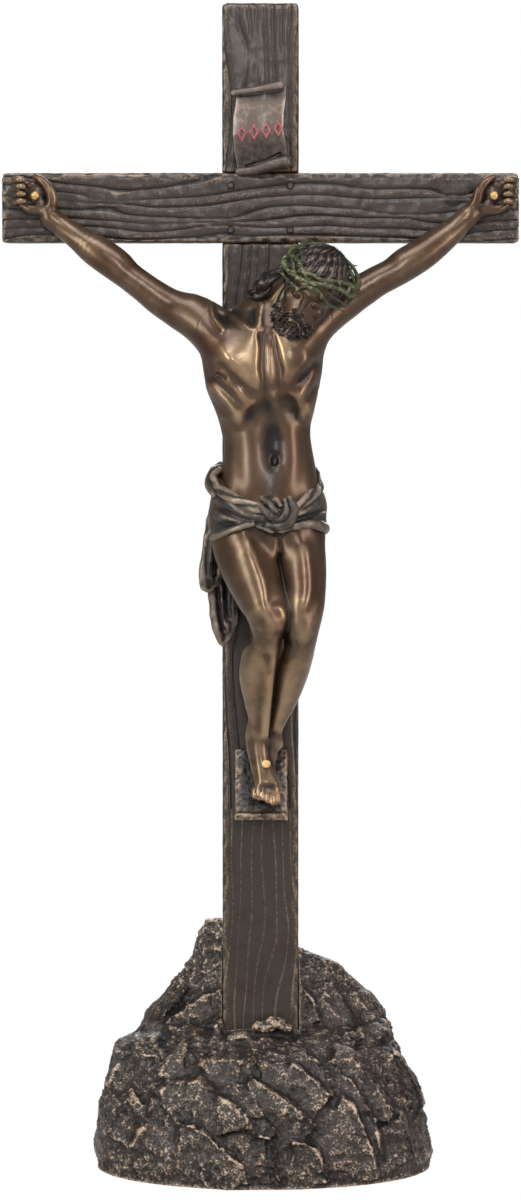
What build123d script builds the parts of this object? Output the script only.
"""A standing crucifix of cold-cast bronze: two rough-hewn timbers lapped and nailed into a cross, set in
a rock base, with a figure held by three nails, a plain scroll above it and a foot rest below it.

Millimetres. +Z is up, the viewer stands at -Y, and the origin is on the table under the post's axis.
The figure's own right is at -X. Each piece is one STEP file, named for the piece."""

import math
import os

from build123d import *

# Fits that all pieces share
overrun = 2.0  # how far a cutting body passes the face that it cuts
glue_gap = 0.1  # room for glue round a tenon, a dowel or a nail

# Cross
total_height = 267.0
post_width = 17.4
post_depth = 11.0
beam_length = 117.0
beam_height = 15.8
beam_depth = 11.0
beam_drop = 46.2  # the beam's middle below the post's top
beam_level = total_height - beam_drop
beam_proud = 1.5  # how far the beam's face stands in front of the post's
lap_depth = 4.5  # the notch in the post's face
timber_round = 0.8

# Nails in the lap joint
lap_nail_radius = 0.7
lap_nail_length = 9.0
lap_nail_head_radius = 0.9
lap_nail_head_height = 0.6
lap_nail_inset = 2.0  # from the post's sides
lap_nail_drop = 2.9  # from the beam's edges

# Scroll
scroll_width = 11.8
scroll_height = 19.0  # between the middles of its two rolls
scroll_thickness = 0.9
scroll_curl = 1.5  # radius of the rolls
scroll_bow = 1.3  # how far the sheet's middle bulges
scroll_lap = 0.2  # how far the lower roll's middle is below the beam's top edge
scroll_slant = math.radians(9)  # its right end is the higher one

# Rock base
base_width = 77.0
base_depth = 62.0
base_height = 56.5
socket_floor = 12.0  # above the table
slab_rise = 2.0  # how far a slab's upper edge stands off the rock
slab_width = 5.0
slab_thickness = 4.0
slab_overlap = 1.5  # a slab is longer than its upper edge by this much
probe = 1.0  # step that finds the rock's slope

# Felt and screw under the base
felt_thickness = 1.0
felt_inset = 4.0
screw_radius = 1.75
screw_length = 24.0
screw_head_radius = 3.4
screw_head_height = 2.0
washer_radius = 4.6
washer_thickness = 0.8
screw_recess = 4.2  # depth of the counterbore in the rock

# Foot rest
rest_width = 11.9
rest_height = 14.2
rest_reach = 8.6  # how far the lip stands in front of the post
rest_lip = 1.5
rest_top = 1.6  # thickness at the upper edge
rest_round = 0.35

# Nails in hands and feet
nail_radius = 0.55
nail_head_radius = 0.95
nail_head_height = 0.6
nail_seat = 0.4  # depth of the flat under each head
nail_bite = 4.0  # how deep each nail goes into the timber
right_nail_inset = 7.7  # from the beam's end
left_nail_inset = 5.9
hand_nail_rise = 2.7  # above the beam's middle

# Figure
figure_height = 125.0
head_length = 19.5
head_lean = math.radians(32)  # towards the figure's left
head_bow = math.radians(25)  # forward
foot_thickness = 3.3
finger_radius = 0.72
toe_radius = 0.7
dowel_radius = 1.2
dowel_length = 7.0
strand_radius = 0.62
thorn_radius = 0.4
thorn_length = 1.2
thorn_turn = 14  # degrees that each strand's thorns are turned from those below
belt_radius = 1.6

# Places that follow from the sizes above
post_front = -post_depth / 2
beam_front = post_front - beam_proud
beam_back = beam_front + beam_depth
lap_plane = post_front + lap_depth
beam_top = beam_level + beam_height / 2
base_bottom = felt_thickness
screw_seat = base_bottom + screw_recess


def facing(depth):
    """The upright plane at y = depth that faces the viewer: its x is X and its y is Z."""
    return Plane.XZ.offset(-depth)


def keep(builder, name):
    """Labels a finished piece and writes its STEP file."""
    builder.part.label = name
    export_step(builder.part, f"parts/{name}.step")


def crumbs(builder):
    """All solids of a piece but its largest: slivers that a cut leaves behind."""
    return builder.solids().sort_by(SortBy.VOLUME)[:-1]


os.makedirs("parts", exist_ok=True)

# Layout of the figure. A place is given in shares of the figure's height: to the right, forward of the
# post's face, and down from the beam's middle.
joint_shares = {
    "right_armpit": (-0.070, 0.054, 0.206),
    "left_armpit": (0.086, 0.054, 0.190),
    "right_shoulder": (-0.116, 0.054, 0.194),
    "left_shoulder": (0.134, 0.054, 0.172),
    "right_hip": (-0.034, 0.066, 0.548),
    "left_hip": (0.066, 0.066, 0.548),
    "right_knee": (0.021, 0.150, 0.734),
    "left_knee": (0.073, 0.140, 0.756),
    "right_ankle": (-0.003, 0.054, 0.952),
    "left_ankle": (0.020, 0.033, 0.965),
    "neck_foot": (0.010, 0.058, 0.206),
    "head_middle": (0.092, 0.120, 0.136),
    "foot_nail": (0.010, 0, 1.003),
    "rest_edge": (0.001, 0, 0.992),
}


def place(right_share, forward_share, drop_share):
    return Vector(
        right_share * figure_height,
        post_front - forward_share * figure_height,
        beam_level - drop_share * figure_height,
    )


joint = {name: place(*shares) for name, shares in joint_shares.items()}
nail_level = beam_level + hand_nail_rise
nail_spot = {
    "right": Vector(right_nail_inset - beam_length / 2, beam_front, nail_level),
    "left": Vector(beam_length / 2 - left_nail_inset, beam_front, nail_level),
    "foot": joint["foot_nail"],
}
head_up = Vector(
    math.cos(head_bow) * math.sin(head_lean),
    -math.sin(head_bow),
    math.cos(head_bow) * math.cos(head_lean),
)
head_side = Vector(math.cos(head_lean), 0, -math.sin(head_lean))
head_plane = Plane(origin=joint["head_middle"], x_dir=head_side, z_dir=head_up)


def limb_sections(joints, shares, size, across):
    """Planes square to a chain of joints, each with its two half widths. A row of shares holds the place
    along the chain in whole bones, two half widths and, where needed, offsets to the right and forward."""
    sections = []
    for along, half_width, half_depth, *offsets in shares:
        bone = min(int(along), len(joints) - 2)
        start, end = joints[bone], joints[bone + 1]
        origin = start + (end - start) * (along - bone)
        if offsets:
            origin = origin + Vector(offsets[0], -offsets[1], 0) * size
        before = joints[max(math.ceil(along) - 1, 0)]
        after = joints[min(math.floor(along) + 1, len(joints) - 1)]
        plane = Plane(origin=origin, x_dir=across, z_dir=after - before)
        sections.append((plane, half_width * size, half_depth * size))
    return sections


def level_sections(shares):
    """Level planes through the figure, each with its two half widths."""
    sections = []
    for drop, right, forward, half_width, half_depth in shares:
        plane = Plane(origin=place(right, forward, drop), x_dir=(1, 0, 0), z_dir=(0, 0, 1))
        sections.append((plane, half_width * figure_height, half_depth * figure_height))
    return sections


def head_sections(shares):
    """Planes square to the head's axis, each with its two half widths."""
    sections = []
    for height, forward, half_width, half_depth in shares:
        plane = head_plane.offset(height * head_length)
        plane.origin = plane.origin - plane.y_dir * (forward * head_length)
        sections.append((plane, half_width * head_length, half_depth * head_length))
    return sections


# Post: stands in the rock's socket, notched in front for the beam, with a pilot hole for the base's screw.
lap_nail_spots = [
    (right * (post_width / 2 - lap_nail_inset), beam_level + up * (beam_height / 2 - lap_nail_drop))
    for right in (-1, 1)
    for up in (-1, 1)
]
with BuildPart() as cross_upright:
    with BuildSketch(Plane.XY.offset(socket_floor)):
        RectangleRounded(post_width, post_depth, timber_round)
    extrude(amount=total_height - socket_floor)
    fillet(cross_upright.faces().sort_by(Axis.Z)[-1].edges(), timber_round / 2)
    with BuildSketch(facing(lap_plane)):
        with Locations((0, beam_level)):
            Rectangle(post_width + 2 * overrun, beam_height + 2 * glue_gap)
    extrude(amount=lap_depth + overrun, mode=Mode.SUBTRACT)
    with Locations(facing(lap_plane)):
        with Locations(*lap_nail_spots):
            Hole(lap_nail_radius + glue_gap, lap_nail_length - (lap_plane - beam_front) + glue_gap)
    with Locations(facing(post_front)):
        with Locations((nail_spot["foot"].X, nail_spot["foot"].Z)):
            Hole(nail_radius + glue_gap, nail_bite + glue_gap)
    with Locations(Plane.XY.offset(socket_floor).rotated((180, 0, 0))):
        Hole(screw_radius + glue_gap, screw_seat + screw_length - socket_floor + glue_gap)
keep(cross_upright, "cross_upright")

# Beam: notched behind so that it drops over the post's notch and stands a little proud in front.
with BuildPart() as crossbeam:
    with BuildSketch(Plane.YZ.offset(-beam_length / 2)):
        with Locations(((beam_front + beam_back) / 2, beam_level)):
            RectangleRounded(beam_depth, beam_height, timber_round)
    extrude(amount=beam_length)
    fillet(crossbeam.faces().sort_by(Axis.X)[0].edges(), timber_round / 2)
    fillet(crossbeam.faces().sort_by(Axis.X)[-1].edges(), timber_round / 2)
    with BuildSketch(facing(lap_plane)):
        with Locations((0, beam_level)):
            Rectangle(post_width + 2 * glue_gap, beam_height + 2 * overrun)
    extrude(amount=lap_plane - beam_back - overrun, mode=Mode.SUBTRACT)
    with Locations(facing(beam_front)):
        with Locations(*lap_nail_spots):
            Hole(lap_nail_radius + glue_gap, beam_depth)
        with Locations(*[(nail_spot[side].X, nail_spot[side].Z) for side in ("right", "left")]):
            Hole(nail_radius + glue_gap, nail_bite + glue_gap)
keep(crossbeam, "crossbeam")

# Four nails hold the lap joint.
with BuildPart() as lap_nails:
    with BuildSketch(facing(beam_front)):
        with Locations(*lap_nail_spots):
            Circle(lap_nail_radius)
    extrude(amount=-lap_nail_length)
    with BuildSketch(facing(beam_front)):
        with Locations(*lap_nail_spots):
            Circle(lap_nail_head_radius)
    extrude(amount=lap_nail_head_height, taper=30)
keep(lap_nails, "lap_nails")

# Scroll: one bowed sheet between two hollow rolls, leaning a little. The upper roll lies on the post and
# the lower one on the beam's face.
scroll_plane = Plane(
    origin=(scroll_height / 2 * math.sin(scroll_slant), 0, beam_top - scroll_lap),
    x_dir=(0, 1, 0),
    z_dir=(math.cos(scroll_slant), 0, math.sin(scroll_slant)),
)
lower_roll = (beam_front - scroll_curl, 0)
upper_roll = (post_front - scroll_curl, scroll_height)
sheet_middle = ((lower_roll[0] + upper_roll[0]) / 2 - scroll_bow, scroll_height / 2)
with BuildPart() as titulus_scroll:
    with BuildSketch(scroll_plane.offset(-scroll_width / 2)):
        with BuildLine():
            Spline(
                (upper_roll[0] + scroll_curl - scroll_thickness / 2, upper_roll[1]),
                sheet_middle,
                (lower_roll[0] + scroll_curl - scroll_thickness / 2, lower_roll[1]),
            )
        trace(line_width=scroll_thickness)
        with Locations(upper_roll, lower_roll):
            Circle(scroll_curl)
            Circle(scroll_curl - scroll_thickness, mode=Mode.SUBTRACT)
    extrude(amount=scroll_width)
keep(titulus_scroll, "titulus_scroll")

# Rock: a crag lofted straight through jagged outlines whose corners wander sideways with height. Its peak
# rises behind the post. Slabs lie on it in tiers, each with its upper edge standing proud.
rock_shares = [  # height, then left, right, front and back of the post's axis
    (0.000, -0.468, 0.488, -0.471, 0.468),
    (0.070, -0.488, 0.509, -0.497, 0.490),
    (0.300, -0.462, 0.470, -0.445, 0.474),
    (0.487, -0.434, 0.400, -0.316, 0.445),
    (0.531, -0.387, 0.387, -0.218, 0.416),
    (0.588, -0.345, 0.369, -0.087, 0.387),
    (0.665, -0.301, 0.327, -0.042, 0.348),
    (0.761, -0.255, 0.257, 0.008, 0.300),
    (0.841, -0.223, 0.161, 0.048, 0.255),
    (0.903, -0.205, 0.065, 0.073, 0.223),
    (1.000, -0.179, -0.117, 0.105, 0.177),
]
jag_shares = (0.01, -0.02, 0.02, -0.01, 0.02, -0.02, 0.01, 0.02, -0.02, 0.01, 0.02, -0.01, 0.01, -0.02)
slab_shares = [  # a slab's upper edge, as sideways place and height at both ends, then its rise and width
    (-0.027, 0.481, 0.087, 0.487, 1.00, 1.00),
    (0.087, 0.487, 0.217, 0.352, 1.00, 1.00),
    (-0.036, 0.442, 0.074, 0.352, 1.00, 1.00),
    (0.074, 0.352, 0.169, 0.228, 1.00, 1.00),
    (0.209, 0.522, 0.312, 0.435, 1.00, 1.00),
    (0.312, 0.435, 0.384, 0.280, 1.00, 1.00),
    (-0.318, 0.356, -0.181, 0.414, 1.05, 1.30),
    (-0.181, 0.414, -0.036, 0.280, 1.05, 1.30),
    (-0.249, 0.253, -0.153, 0.212, 0.90, 1.40),
    (-0.153, 0.212, -0.052, 0.101, 0.90, 1.40),
    (-0.460, 0.165, -0.370, 0.354, 0.80, 0.90),
    (-0.303, 0.421, -0.236, 0.529, 0.80, 0.80),
    (-0.435, 0.478, -0.365, 0.535, 0.70, 0.80),
    (-0.292, 0.581, -0.116, 0.720, 0.60, 0.80),
    (0.258, 0.743, 0.390, 0.535, 0.65, 0.80),
    (0.205, 0.761, 0.308, 0.535, 0.60, 0.80),
    (0.234, 0.358, 0.296, 0.248, 0.70, 0.90),
    (0.296, 0.248, 0.342, 0.053, 0.70, 0.90),
    (0.087, 0.191, 0.162, 0.163, 0.80, 1.10),
    (0.162, 0.163, 0.200, 0.035, 0.80, 1.10),
    (0.395, 0.494, 0.468, 0.336, 0.55, 0.60),
]


def rock_middle(height):
    """Middle and half sizes of the rock's outline at a height in mm, between the outlines given above."""
    share = min(1, max(0, (height - base_bottom) / base_height))
    for low, high in zip(rock_shares, rock_shares[1:]):
        if share <= high[0]:
            break
    part = (share - low[0]) / (high[0] - low[0])
    left, right, front, back = [a + (b - a) * part for a, b in zip(low[1:], high[1:])]
    middle = Vector((left + right) / 2 * base_width, (front + back) / 2 * base_depth)
    return middle, (right - left) / 2 * base_width, (back - front) / 2 * base_depth


def rock_outline(level, inset=0):
    """Corners of the rock's outline at one level, in the level plane."""
    middle, half_width, half_depth = rock_middle(base_bottom + rock_shares[level][0] * base_height)
    half_width -= inset
    half_depth -= inset
    corners = []
    for index in range(len(jag_shares)):
        turn = 2 * math.pi * index / len(jag_shares)
        reach = 1 + jag_shares[(index + level) % len(jag_shares)] * abs(math.sin(turn))
        corners.append(middle + Vector(half_width * math.cos(turn), half_depth * math.sin(turn)) * reach)
    return corners


def on_rock(across, height, side):
    """A point on the rock's front, side -1, or its back, side 1."""
    middle, half_width, half_depth = rock_middle(height)
    share = max(-1, min(1, (across - middle.X) / half_width))
    return Vector(across, middle.Y + side * half_depth * math.sqrt(1 - share * share), height)


def slab_plane(start, end, side, rise, width):
    """Plane in the outer face of a slab. Its x runs along the upper edge, its y down the slab."""
    along = end - start
    middle = (start + end) / 2
    above = on_rock(middle.X, middle.Z + probe, side)
    out = along.cross(above - on_rock(middle.X, middle.Z - probe, side)).normalized()
    if out.Y * side < 0:
        out = -out
    down = along.cross(out).normalized()
    if down.Z > 0:
        down = -down
    face_middle = on_rock(middle.X, middle.Z, side) + out * (rise / 2) + down * (width / 2)
    return Plane(origin=face_middle, x_dir=along, z_dir=out * width + down * rise)


with BuildPart() as rock_base:
    for level, row in enumerate(rock_shares):
        with BuildSketch(Plane.XY.offset(base_bottom + row[0] * base_height)):
            Polygon(*rock_outline(level), align=None)
    loft(ruled=True)
    for first, first_height, last, last_height, rise_share, width_share in slab_shares:
        for side in (-1, 1):
            start = on_rock(-side * first * base_width, base_bottom + first_height * base_height, side)
            end = on_rock(-side * last * base_width, base_bottom + last_height * base_height, side)
            rise = slab_rise * rise_share
            width = slab_width * width_share
            with BuildSketch(slab_plane(start, end, side, rise, width)):
                Rectangle((end - start).length + slab_overlap, math.hypot(rise, width))
            extrude(amount=-slab_thickness)
    with BuildSketch(Plane.XY.offset(base_bottom)):
        Rectangle(2 * base_width, 2 * base_depth)
    extrude(amount=-base_height, mode=Mode.SUBTRACT)
    with BuildSketch(Plane.XY.offset(socket_floor)):
        Rectangle(post_width + 2 * glue_gap, post_depth + 2 * glue_gap)
    extrude(amount=base_height, mode=Mode.SUBTRACT)
    with Locations(Plane.XY.offset(base_bottom).rotated((180, 0, 0))):
        CounterBoreHole(screw_radius + glue_gap, washer_radius + glue_gap, screw_recess, socket_floor)
    add(crumbs(rock_base), mode=Mode.SUBTRACT)
keep(rock_base, "rock_base")

# Felt: glued under the rock, a little inside its edge. It hides the screw and is what the table meets.
with BuildPart() as base_felt:
    with BuildSketch():
        Polygon(*rock_outline(0, felt_inset), align=None)
    extrude(amount=felt_thickness)
keep(base_felt, "base_felt")

# Screw and washer: draw the post down into its socket from below.
with BuildPart() as base_washer:
    with BuildSketch(Plane.XY.offset(screw_seat - washer_thickness)):
        Circle(washer_radius)
        Circle(screw_radius + glue_gap, mode=Mode.SUBTRACT)
    extrude(amount=washer_thickness)
keep(base_washer, "base_washer")

with BuildPart() as base_screw:
    with BuildSketch(Plane.XY.offset(screw_seat - washer_thickness)):
        Circle(screw_head_radius)
    extrude(amount=-screw_head_height, taper=12)
    with BuildSketch(Plane.XY.offset(screw_seat - washer_thickness)):
        Circle(screw_radius)
    extrude(amount=screw_length)
    chamfer(base_screw.edges().group_by(Axis.Z)[-1], screw_radius / 2)
keep(base_screw, "base_screw")

# Foot rest: a sloping block under the feet, thin at its upper edge, with an upright lip below.
rest_edge = joint["rest_edge"]
rest_foot = rest_edge.Z - rest_height
rest_front = post_front - rest_reach
slope_top = Vector(rest_edge.X, post_front - rest_top, rest_edge.Z)
slope_end = Vector(rest_edge.X, rest_front, rest_foot + rest_lip)
slope = slope_end - slope_top
slope_out = Vector(0, slope.Z, -slope.Y).normalized()
with BuildPart() as foot_rest:
    with BuildSketch(Plane.YZ.offset(rest_edge.X - rest_width / 2)):
        with BuildLine():
            Polyline(
                (post_front, rest_edge.Z),
                (slope_top.Y, slope_top.Z),
                (slope_end.Y, slope_end.Z),
                (rest_front, rest_foot),
                (post_front, rest_foot),
                close=True,
            )
        make_face()
    extrude(amount=rest_width)
    fillet(foot_rest.edges().filter_by(Axis.X).group_by(Axis.Y)[0], rest_round)
    with Locations(facing(rest_front)):
        with Locations((nail_spot["foot"].X, nail_spot["foot"].Z)):
            Hole(nail_radius + glue_gap, rest_reach + overrun)
keep(foot_rest, "foot_rest")

# Figure's body: trunk, legs and feet are one casting, each lofted through cross-sections. The right leg
# and foot lie over the left ones. Dowels for arms and head are let into it.
trunk_shares = [  # drop, right, forward, half width, half depth
    (0.596, 0.0140, 0.070, 0.086, 0.058),
    (0.534, 0.0136, 0.070, 0.092, 0.0645),
    (0.478, 0.0136, 0.070, 0.088, 0.060),
    (0.418, 0.0120, 0.072, 0.076, 0.053),
    (0.358, 0.0060, 0.073, 0.088, 0.062),
    (0.302, 0.0050, 0.074, 0.103, 0.070),
    (0.262, 0.0030, 0.072, 0.110, 0.069),
    (0.222, 0.0020, 0.066, 0.107, 0.060),
    (0.186, 0.0050, 0.059, 0.076, 0.043),
    (0.166, 0.0100, 0.058, 0.037, 0.034),
]
leg_shares = [  # along hip, knee and ankle, half width, half depth, right, forward
    (0.00, 0.053, 0.053),
    (0.30, 0.052, 0.053, 0, 0.004),
    (0.62, 0.045, 0.046, 0, 0.004),
    (0.90, 0.039, 0.041),
    (1.10, 0.033, 0.036, 0, 0.002),
    (1.36, 0.033, 0.034, -0.008, -0.006),
    (1.64, 0.024, 0.026, -0.004, -0.004),
    (1.90, 0.019, 0.021),
    (2.00, 0.020, 0.022),
]
foot_down_shares = (0.12, 0.42, 0.64, 0.76)  # places of the foot's sections down the slope
foot_shares = [  # along ankle and those sections, half width and half height in foot thicknesses
    (0.00, 0.74, 0.80),
    (1.00, 0.74, 0.66),
    (2.00, 0.86, 0.54),
    (3.00, 0.98, 0.42),
    (4.00, 0.94, 0.32),
]
toe_root_share = 0.72  # down the slope
toe_tip_share = 0.92
toe_spread_shares = (-0.76, -0.38, 0.0, 0.38, 0.74)  # across the foot, in foot thicknesses


def foot_spot(layer, start, lean, down_share):
    """A place in a foot: layer 1 lies on the rest and layer 3 on the foot below it."""
    aside = Vector(start - rest_edge.X + lean * down_share, 0, 0)
    return slope_top + slope * down_share + slope_out * (layer * foot_thickness / 2) + aside


feet = {
    "left": (1, joint["left_ankle"].X, -foot_thickness),
    "right": (3, joint["right_ankle"].X, foot_thickness),
}
toe_planes = []
for foot in feet.values():
    for spread_share in toe_spread_shares:
        aside = Vector(spread_share * foot_thickness, 0, 0)
        root = foot_spot(*foot, toe_root_share) + aside
        tip = foot_spot(*foot, toe_tip_share) + aside
        toe_planes.append((Plane(origin=root, z_dir=tip - root), (tip - root).length))

body_lofts = [
    level_sections(trunk_shares),
    *[
        limb_sections(
            [joint[f"{side}_hip"], joint[f"{side}_knee"], joint[f"{side}_ankle"]],
            leg_shares,
            figure_height,
            (1, 0, 0),
        )
        for side in ("left", "right")
    ],
    *[
        limb_sections(
            [joint[f"{side}_ankle"], *[foot_spot(*foot, down_share) for down_share in foot_down_shares]],
            foot_shares,
            foot_thickness,
            (1, 0, 0),
        )
        for side, foot in feet.items()
    ],
]
dowel_planes = [
    Plane(origin=(joint[f"{side}_armpit"] + joint[f"{side}_shoulder"]) / 2,
          z_dir=joint[f"{side}_shoulder"] - joint[f"{side}_armpit"])
    for side in ("right", "left")
]
neck_line = joint["head_middle"] - joint["neck_foot"]
neck_dowel_share = 0.30  # the dowel's middle between neck and head
neck_plane = Plane(origin=joint["neck_foot"] + neck_line * neck_dowel_share, z_dir=neck_line)

foot_nail_share = (nail_spot["foot"].Z - slope_top.Z) / slope.Z  # down the slope
foot_nail_seat = foot_spot(4, 0, 0, foot_nail_share).Y + nail_seat

with BuildPart() as figure_body:
    for sections in body_lofts:
        for plane, half_width, half_depth in sections:
            with BuildSketch(plane):
                Ellipse(half_width, half_depth)
        loft()
    for plane, length in toe_planes:
        with BuildSketch(plane):
            Circle(toe_radius)
        extrude(amount=length)
        with Locations(plane.offset(length)):
            Sphere(toe_radius)
    with Locations(*dowel_planes, neck_plane):
        Cylinder(dowel_radius + glue_gap, dowel_length + 2 * glue_gap, mode=Mode.SUBTRACT)
    with Locations(facing(foot_nail_seat)):
        with Locations((nail_spot["foot"].X, nail_spot["foot"].Z)):
            Hole(nail_radius + glue_gap, post_front - foot_nail_seat)
    with BuildSketch(facing(foot_nail_seat)):
        with Locations((nail_spot["foot"].X, nail_spot["foot"].Z)):
            Circle(nail_head_radius + glue_gap)
    extrude(amount=foot_thickness, mode=Mode.SUBTRACT)
    add(cross_upright.part, mode=Mode.SUBTRACT)
    add(foot_rest.part, mode=Mode.SUBTRACT)
    add(crumbs(figure_body), mode=Mode.SUBTRACT)
keep(figure_body, "figure_body")

# Arms: each is one casting with its hand, lofted from the shoulder's seam to the knuckles, with curled
# fingers and a thumb. A dowel holds it to the trunk and a nail holds its palm to the beam.
reach_shares = {"elbow": (0.37, 0.036, 0.072), "wrist": (0.84, 0.014, 0.034)}  # along, sag, forward
knuckle_share = 0.021  # from nail to knuckles, in figure heights
arm_shares = [  # along armpit, shoulder, elbow, wrist, palm and knuckles, half height, half depth
    (0.00, 0.0320, 0.0330),
    (0.90, 0.0360, 0.0365),
    (1.35, 0.0300, 0.0310),
    (1.70, 0.0262, 0.0270),
    (2.00, 0.0236, 0.0240),
    (2.25, 0.0266, 0.0262),
    (2.60, 0.0232, 0.0216),
    (3.00, 0.0176, 0.0150),
    (4.00, 0.0232, 0.0122),
    (5.00, 0.0248, 0.0088),
]
finger_spread_shares = (-0.75, -0.25, 0.25, 0.75)  # across the knuckles
finger_path_shares = ((-1.5, 0.2), (2.2, 0.9), (2.9, 2.6), (1.5, 4.0))  # outward, forward, in finger radii
thumb_path_shares = ((-5.0, 2.6, 0.6), (-1.5, 4.6, 1.4), (2.0, 4.8, 2.4))  # outward, up, forward


def arm_layout(side, outward):
    """Joints of one arm, and the hand's outward and upward directions in the beam's plane."""
    shoulder = joint[f"{side}_shoulder"]
    palm_depth = arm_shares[-2][2] * figure_height
    palm = nail_spot[side] - Vector(0, palm_depth, 0)
    reach = palm - shoulder
    down = Vector(reach.Z, 0, -reach.X) * outward
    bends = [
        shoulder + reach * along + down * sag - Vector(0, forward, 0) * reach.length
        for along, sag, forward in reach_shares.values()
    ]
    hand = Vector(palm.X - bends[1].X, 0, palm.Z - bends[1].Z).normalized()
    knuckles = palm + hand * (knuckle_share * figure_height)
    joints = [joint[f"{side}_armpit"], shoulder, *bends, palm, knuckles]
    return joints, hand, Vector(-hand.Z, 0, hand.X) * outward


arms = {}
for side, outward in (("right", -1), ("left", 1)):
    joints, hand, hand_up = arm_layout(side, outward)
    knuckles = joints[-1]
    palm_front = joints[-2].Y - arm_shares[-2][2] * figure_height + nail_seat
    half_hand = arm_shares[-1][1] * figure_height
    paths = []
    for spread_share in finger_spread_shares:
        root = knuckles + hand_up * (spread_share * half_hand)
        paths.append(
            [root + (hand * out - Vector(0, forward, 0)) * finger_radius for out, forward in finger_path_shares]
        )
    paths.append(
        [
            knuckles + (hand * out + hand_up * up - Vector(0, forward, 0)) * finger_radius
            for out, up, forward in thumb_path_shares
        ]
    )
    with BuildPart() as arm:
        for plane, half_width, half_depth in limb_sections(joints, arm_shares, figure_height, (0, 0, 1)):
            with BuildSketch(plane):
                Ellipse(half_width, half_depth)
        loft()
        for path in paths:
            with BuildLine() as finger:
                Spline(*path)
            with BuildSketch(Plane(origin=path[0], z_dir=finger.line % 0)):
                Circle(finger_radius)
            sweep(path=finger.line)
            with Locations(path[-1]):
                Sphere(finger_radius)
        with Locations(*dowel_planes):
            Cylinder(dowel_radius + glue_gap, dowel_length + 2 * glue_gap, mode=Mode.SUBTRACT)
        with Locations(facing(palm_front)):
            with Locations((nail_spot[side].X, nail_spot[side].Z)):
                Hole(nail_radius + glue_gap, beam_front - palm_front)
        with BuildSketch(facing(palm_front)):
            with Locations((nail_spot[side].X, nail_spot[side].Z)):
                Circle(nail_head_radius + glue_gap)
        extrude(amount=nail_seat + nail_head_height, mode=Mode.SUBTRACT)
        add(figure_body.part, mode=Mode.SUBTRACT)
        add(crossbeam.part, mode=Mode.SUBTRACT)
        add(crumbs(arm), mode=Mode.SUBTRACT)
    keep(arm, f"{side}_arm")
    arms[side] = arm

# Nails through the palms: domed heads sunk a little into the hands.
for side in ("right", "left"):
    palm_front = beam_front - 2 * arm_shares[-2][2] * figure_height + nail_seat
    with BuildPart() as hand_nail:
        with BuildSketch(facing(palm_front)):
            with Locations((nail_spot[side].X, nail_spot[side].Z)):
                Circle(nail_radius)
        extrude(amount=palm_front - beam_front - nail_bite)
        with BuildSketch(facing(palm_front)):
            with Locations((nail_spot[side].X, nail_spot[side].Z)):
                Circle(nail_head_radius)
        extrude(amount=nail_head_height, taper=25)
    keep(hand_nail, f"{side}_hand_nail")

# One nail goes through both feet and the foot rest into the post.
with BuildPart() as foot_nail:
    with BuildSketch(facing(foot_nail_seat)):
        with Locations((nail_spot["foot"].X, nail_spot["foot"].Z)):
            Circle(nail_radius)
    extrude(amount=foot_nail_seat - post_front - nail_bite)
    with BuildSketch(facing(foot_nail_seat)):
        with Locations((nail_spot["foot"].X, nail_spot["foot"].Z)):
            Circle(nail_head_radius)
    extrude(amount=nail_head_height, taper=25)
keep(foot_nail, "foot_nail")

# Dowels: short pins inside the shoulders and the neck.
with BuildPart() as shoulder_dowels:
    with Locations(*dowel_planes):
        Cylinder(dowel_radius, dowel_length)
keep(shoulder_dowels, "shoulder_dowels")

with BuildPart() as neck_dowel:
    with Locations(neck_plane):
        Cylinder(dowel_radius, dowel_length)
keep(neck_dowel, "neck_dowel")

# Crown: three thorned strands, one above the other, bedded in the hair.
crown_shares = {  # height, forward and radius, in head lengths
    "crown_strand_lower": (0.205, -0.02, 0.468),
    "crown_strand_middle": (0.275, -0.03, 0.474),
    "crown_strand_upper": (0.345, -0.03, 0.452),
}
thorn_count = 9
strands = {}
for name, (height, forward, radius) in crown_shares.items():
    ring_plane = head_plane.offset(height * head_length)
    ring_plane.origin = ring_plane.origin - ring_plane.y_dir * (forward * head_length)
    ring_radius = radius * head_length
    with BuildPart() as strand:
        with Locations(ring_plane):
            Torus(ring_radius, strand_radius)
            with PolarLocations(ring_radius, thorn_count, (len(strands) + 1) * thorn_turn):
                with Locations(Location((0, 0, 0), (0, 90, 0))):
                    Cone(
                        thorn_radius,
                        thorn_radius / 4,
                        strand_radius + thorn_length,
                        align=(Align.CENTER, Align.CENTER, Align.MIN),
                    )
    keep(strand, name)
    strands[name] = strand

# Head: skull, nose, hair, beard and two long locks are one casting with the neck. Its face is plain.
skull_shares = [  # height, forward, half width, half depth
    (-0.50, 0.20, 0.10, 0.09),
    (-0.42, 0.17, 0.19, 0.17),
    (-0.22, 0.08, 0.29, 0.31),
    (0.00, 0.00, 0.335, 0.42),
    (0.18, -0.02, 0.345, 0.45),
    (0.37, -0.03, 0.29, 0.37),
    (0.50, -0.03, 0.10, 0.13),
]
hair_shares = [
    (-0.34, -0.24, 0.22, 0.14),
    (-0.16, -0.17, 0.36, 0.28),
    (0.06, -0.10, 0.40, 0.36),
    (0.24, -0.06, 0.425, 0.41),
    (0.42, -0.05, 0.32, 0.36),
    (0.54, -0.04, 0.10, 0.13),
]
beard_shares = [
    (-0.64, 0.25, 0.07, 0.06),
    (-0.54, 0.22, 0.17, 0.14),
    (-0.38, 0.17, 0.25, 0.23),
    (-0.24, 0.12, 0.27, 0.26),
]
nose_shares = [
    (-0.16, 0.40, 0.070, 0.075),
    (-0.08, 0.405, 0.050, 0.070),
    (0.10, 0.395, 0.030, 0.040),
]
neck_shares = [(0.0, 0.034, 0.034), (0.45, 0.032, 0.034), (0.95, 0.034, 0.038)]
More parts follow.
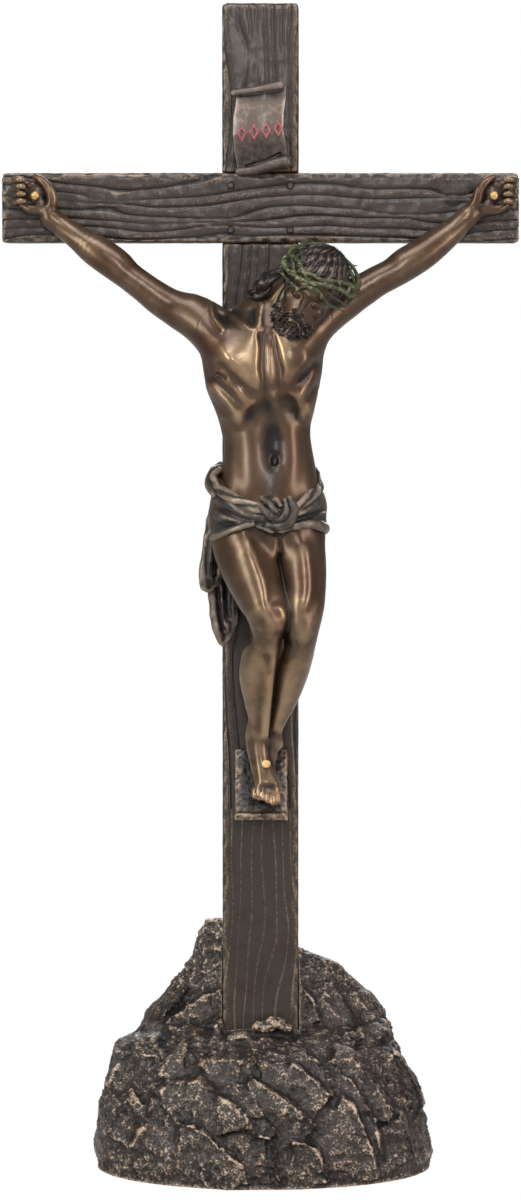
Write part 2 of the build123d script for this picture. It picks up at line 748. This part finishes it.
lock_joint_shares = {  # right, forward and up from the head's middle
    "right_lock": ((-0.34, 0.06, 0.12), (-0.42, 0.10, -0.12), (-0.40, 0.08, -0.36), (-0.42, 0.00, -0.56)),
    "left_lock": ((0.34, 0.06, 0.10), (0.41, 0.10, -0.14), (0.36, 0.08, -0.38)),
}
lock_shares = [(0.0, 0.07, 0.08), (1.0, 0.10, 0.11), (2.0, 0.065, 0.08)]
head_lofts = [
    head_sections(skull_shares),
    head_sections(hair_shares),
    head_sections(beard_shares),
    head_sections(nose_shares),
    limb_sections([joint["neck_foot"], joint["head_middle"]], neck_shares, figure_height, (1, 0, 0)),
]
for path in lock_joint_shares.values():
    lock_joints = [
        head_plane.from_local_coords(Vector(right, -forward, up) * head_length) for right, forward, up in path
    ]
    head_lofts.append(limb_sections(lock_joints, lock_shares, head_length, head_side))

with BuildPart() as head:
    for sections in head_lofts:
        for plane, half_width, half_depth in sections:
            with BuildSketch(plane):
                Ellipse(half_width, half_depth)
        loft()
    with Locations(neck_plane):
        Cylinder(dowel_radius + glue_gap, dowel_length + 2 * glue_gap, mode=Mode.SUBTRACT)
    add(figure_body.part, mode=Mode.SUBTRACT)
    for neighbour in (*arms.values(), *strands.values()):
        add(neighbour.part, mode=Mode.SUBTRACT)
    add(crumbs(head), mode=Mode.SUBTRACT)
keep(head, "head")

# Loincloth: a rolled belt with a knot, the folded wrap that it holds, and a tail of folds at the right hip.
belt_path_shares = [  # right, forward, drop
    (-0.098, 0.076, 0.482),
    (-0.080, 0.119, 0.501),
    (-0.046, 0.146, 0.522),
    (-0.010, 0.158, 0.536),
    (0.022, 0.161, 0.543),
    (0.056, 0.156, 0.536),
    (0.085, 0.137, 0.517),
    (0.109, 0.105, 0.498),
    (0.119, 0.068, 0.482),
]
wrap_shares = [  # drop, right, forward, half width, half depth
    (0.466, 0.0136, 0.0736, 0.0968, 0.0672),
    (0.486, 0.0136, 0.0748, 0.1000, 0.0708),
    (0.518, 0.0136, 0.0776, 0.1024, 0.0736),
    (0.550, 0.0152, 0.0808, 0.1032, 0.0752),
    (0.582, 0.0160, 0.0840, 0.1040, 0.0736),
    (0.594, 0.0160, 0.0848, 0.1024, 0.0720),
]
waist_shares = [  # the wrap's upper edge in front, as right and drop
    (-0.104, 0.474),
    (-0.084, 0.498),
    (-0.048, 0.526),
    (0.020, 0.550),
    (0.064, 0.539),
    (0.102, 0.502),
    (0.123, 0.474),
]
hem_shares = [  # its lower edge in front
    (-0.104, 0.597),
    (-0.082, 0.591),
    (-0.046, 0.574),
    (-0.024, 0.567),
    (0.002, 0.570),
    (0.026, 0.587),
    (0.053, 0.578),
    (0.121, 0.570),
]
cloth_front_share = 0.200  # the front edges are cut from before the cloth to within its thickness
cloth_reach_share = 0.130
wrap_fold_share = 0.045  # height of the wrap's folds
wrap_folds = 13  # round the whole body
tail_fold_share = 0.200
tail_folds = 9
fold_slant = 0.9  # radians that folds move outwards from level to level
outline_points = 52
knot_fold_shares = [  # thickness, then points as right, forward and drop
    (
        0.0096,
        [
            (0.059, 0.166, 0.517),
            (0.068, 0.173, 0.538),
            (0.061, 0.178, 0.560),
            (0.042, 0.176, 0.573),
            (0.018, 0.168, 0.570),
        ],
    ),
    (
        0.0080,
        [
            (0.050, 0.173, 0.520),
            (0.053, 0.181, 0.539),
            (0.045, 0.183, 0.555),
            (0.027, 0.176, 0.563),
        ],
    ),
    (
        0.0084,
        [
            (-0.005, 0.164, 0.530),
            (0.010, 0.173, 0.542),
            (0.024, 0.178, 0.554),
            (0.035, 0.176, 0.560),
        ],
    ),
    (
        0.0080,
        [
            (0.003, 0.165, 0.515),
            (0.018, 0.175, 0.525),
            (0.026, 0.180, 0.538),
            (0.037, 0.178, 0.549),
        ],
    ),
]
tail_shares = [
    (0.502, -0.075, 0.055, 0.0144, 0.0120),
    (0.566, -0.082, 0.050, 0.0192, 0.0136),
    (0.630, -0.086, 0.044, 0.0224, 0.0144),
    (0.690, -0.089, 0.040, 0.0240, 0.0144),
]
tail_end_shares = [
    (0.598, -0.069, 0.031, 0.0176, 0.0120),
    (0.670, -0.068, 0.027, 0.0240, 0.0128),
    (0.734, -0.066, 0.024, 0.0256, 0.0120),
    (0.789, -0.065, 0.022, 0.0160, 0.0104),
]


def folded_outline(half_width, half_depth, folds, fold_share, slant):
    """An oval with folds along its front half, alike on both sides of its middle."""
    points = []
    for index in range(outline_points):
        turn = 2 * math.pi * index / outline_points
        fold = math.cos(folds * abs(turn - 1.5 * math.pi) + slant)
        reach = 1 + fold_share * fold * max(0, -math.sin(turn))
        points.append((half_width * math.cos(turn) * reach, half_depth * math.sin(turn) * reach))
    return points


with BuildPart() as belt_form:
    with BuildLine() as belt:
        Spline(*[place(*shares) for shares in belt_path_shares])
    with BuildSketch(Plane(origin=belt.line @ 0, z_dir=belt.line % 0)):
        Circle(belt_radius)
    sweep(path=belt.line)
    for end in (0, 1):
        with Locations(belt.line @ end):
            Sphere(belt_radius)

with BuildPart() as loincloth_belt:
    add(belt_form.part)
    add(figure_body.part, mode=Mode.SUBTRACT)
    add(crumbs(loincloth_belt), mode=Mode.SUBTRACT)
keep(loincloth_belt, "loincloth_belt")

with BuildPart() as wrap_form:
    for level, (plane, half_width, half_depth) in enumerate(level_sections(wrap_shares)):
        outline = folded_outline(half_width, half_depth, wrap_folds, wrap_fold_share, fold_slant * level)
        with BuildSketch(plane):
            with BuildLine():
                Spline(*outline, periodic=True)
            make_face()
    loft()

with BuildPart() as loincloth_wrap:
    add(wrap_form.part)
    for edge_shares, far_drop in ((waist_shares, 0), (hem_shares, 1)):
        edge = [place(right, 0, drop) for right, drop in edge_shares]
        far = place(0, 0, far_drop).Z
        corners = [(point.X, point.Z) for point in edge]
        with BuildSketch(facing(post_front - cloth_front_share * figure_height)):
            Polygon(*corners, (edge[-1].X, far), (edge[0].X, far), align=None)
        extrude(amount=-cloth_reach_share * figure_height, mode=Mode.SUBTRACT)
    add(figure_body.part, mode=Mode.SUBTRACT)
    add(belt_form.part, mode=Mode.SUBTRACT)
    add(crumbs(loincloth_wrap), mode=Mode.SUBTRACT)
keep(loincloth_wrap, "loincloth_wrap")

with BuildPart() as loincloth_knot:
    for thickness, points in knot_fold_shares:
        with BuildLine() as loop:
            Spline(*[place(*point) for point in points])
        with BuildSketch(Plane(origin=loop.line @ 0, z_dir=loop.line % 0)):
            Circle(thickness * figure_height)
        sweep(path=loop.line)
        for end in (0, 1):
            with Locations(loop.line @ end):
                Sphere(thickness * figure_height)
    add(belt_form.part, mode=Mode.SUBTRACT)
    add(crumbs(loincloth_knot), mode=Mode.SUBTRACT)
keep(loincloth_knot, "loincloth_knot")

with BuildPart() as loincloth_tail:
    for shares in (tail_shares, tail_end_shares):
        for level, (plane, half_width, half_depth) in enumerate(level_sections(shares)):
            outline = folded_outline(half_width, half_depth, tail_folds, tail_fold_share, fold_slant * level)
            with BuildSketch(plane):
                with BuildLine():
                    Spline(*outline, periodic=True)
                make_face()
        loft()
    add(figure_body.part, mode=Mode.SUBTRACT)
    add(wrap_form.part, mode=Mode.SUBTRACT)
    add(crumbs(loincloth_tail), mode=Mode.SUBTRACT)
keep(loincloth_tail, "loincloth_tail")
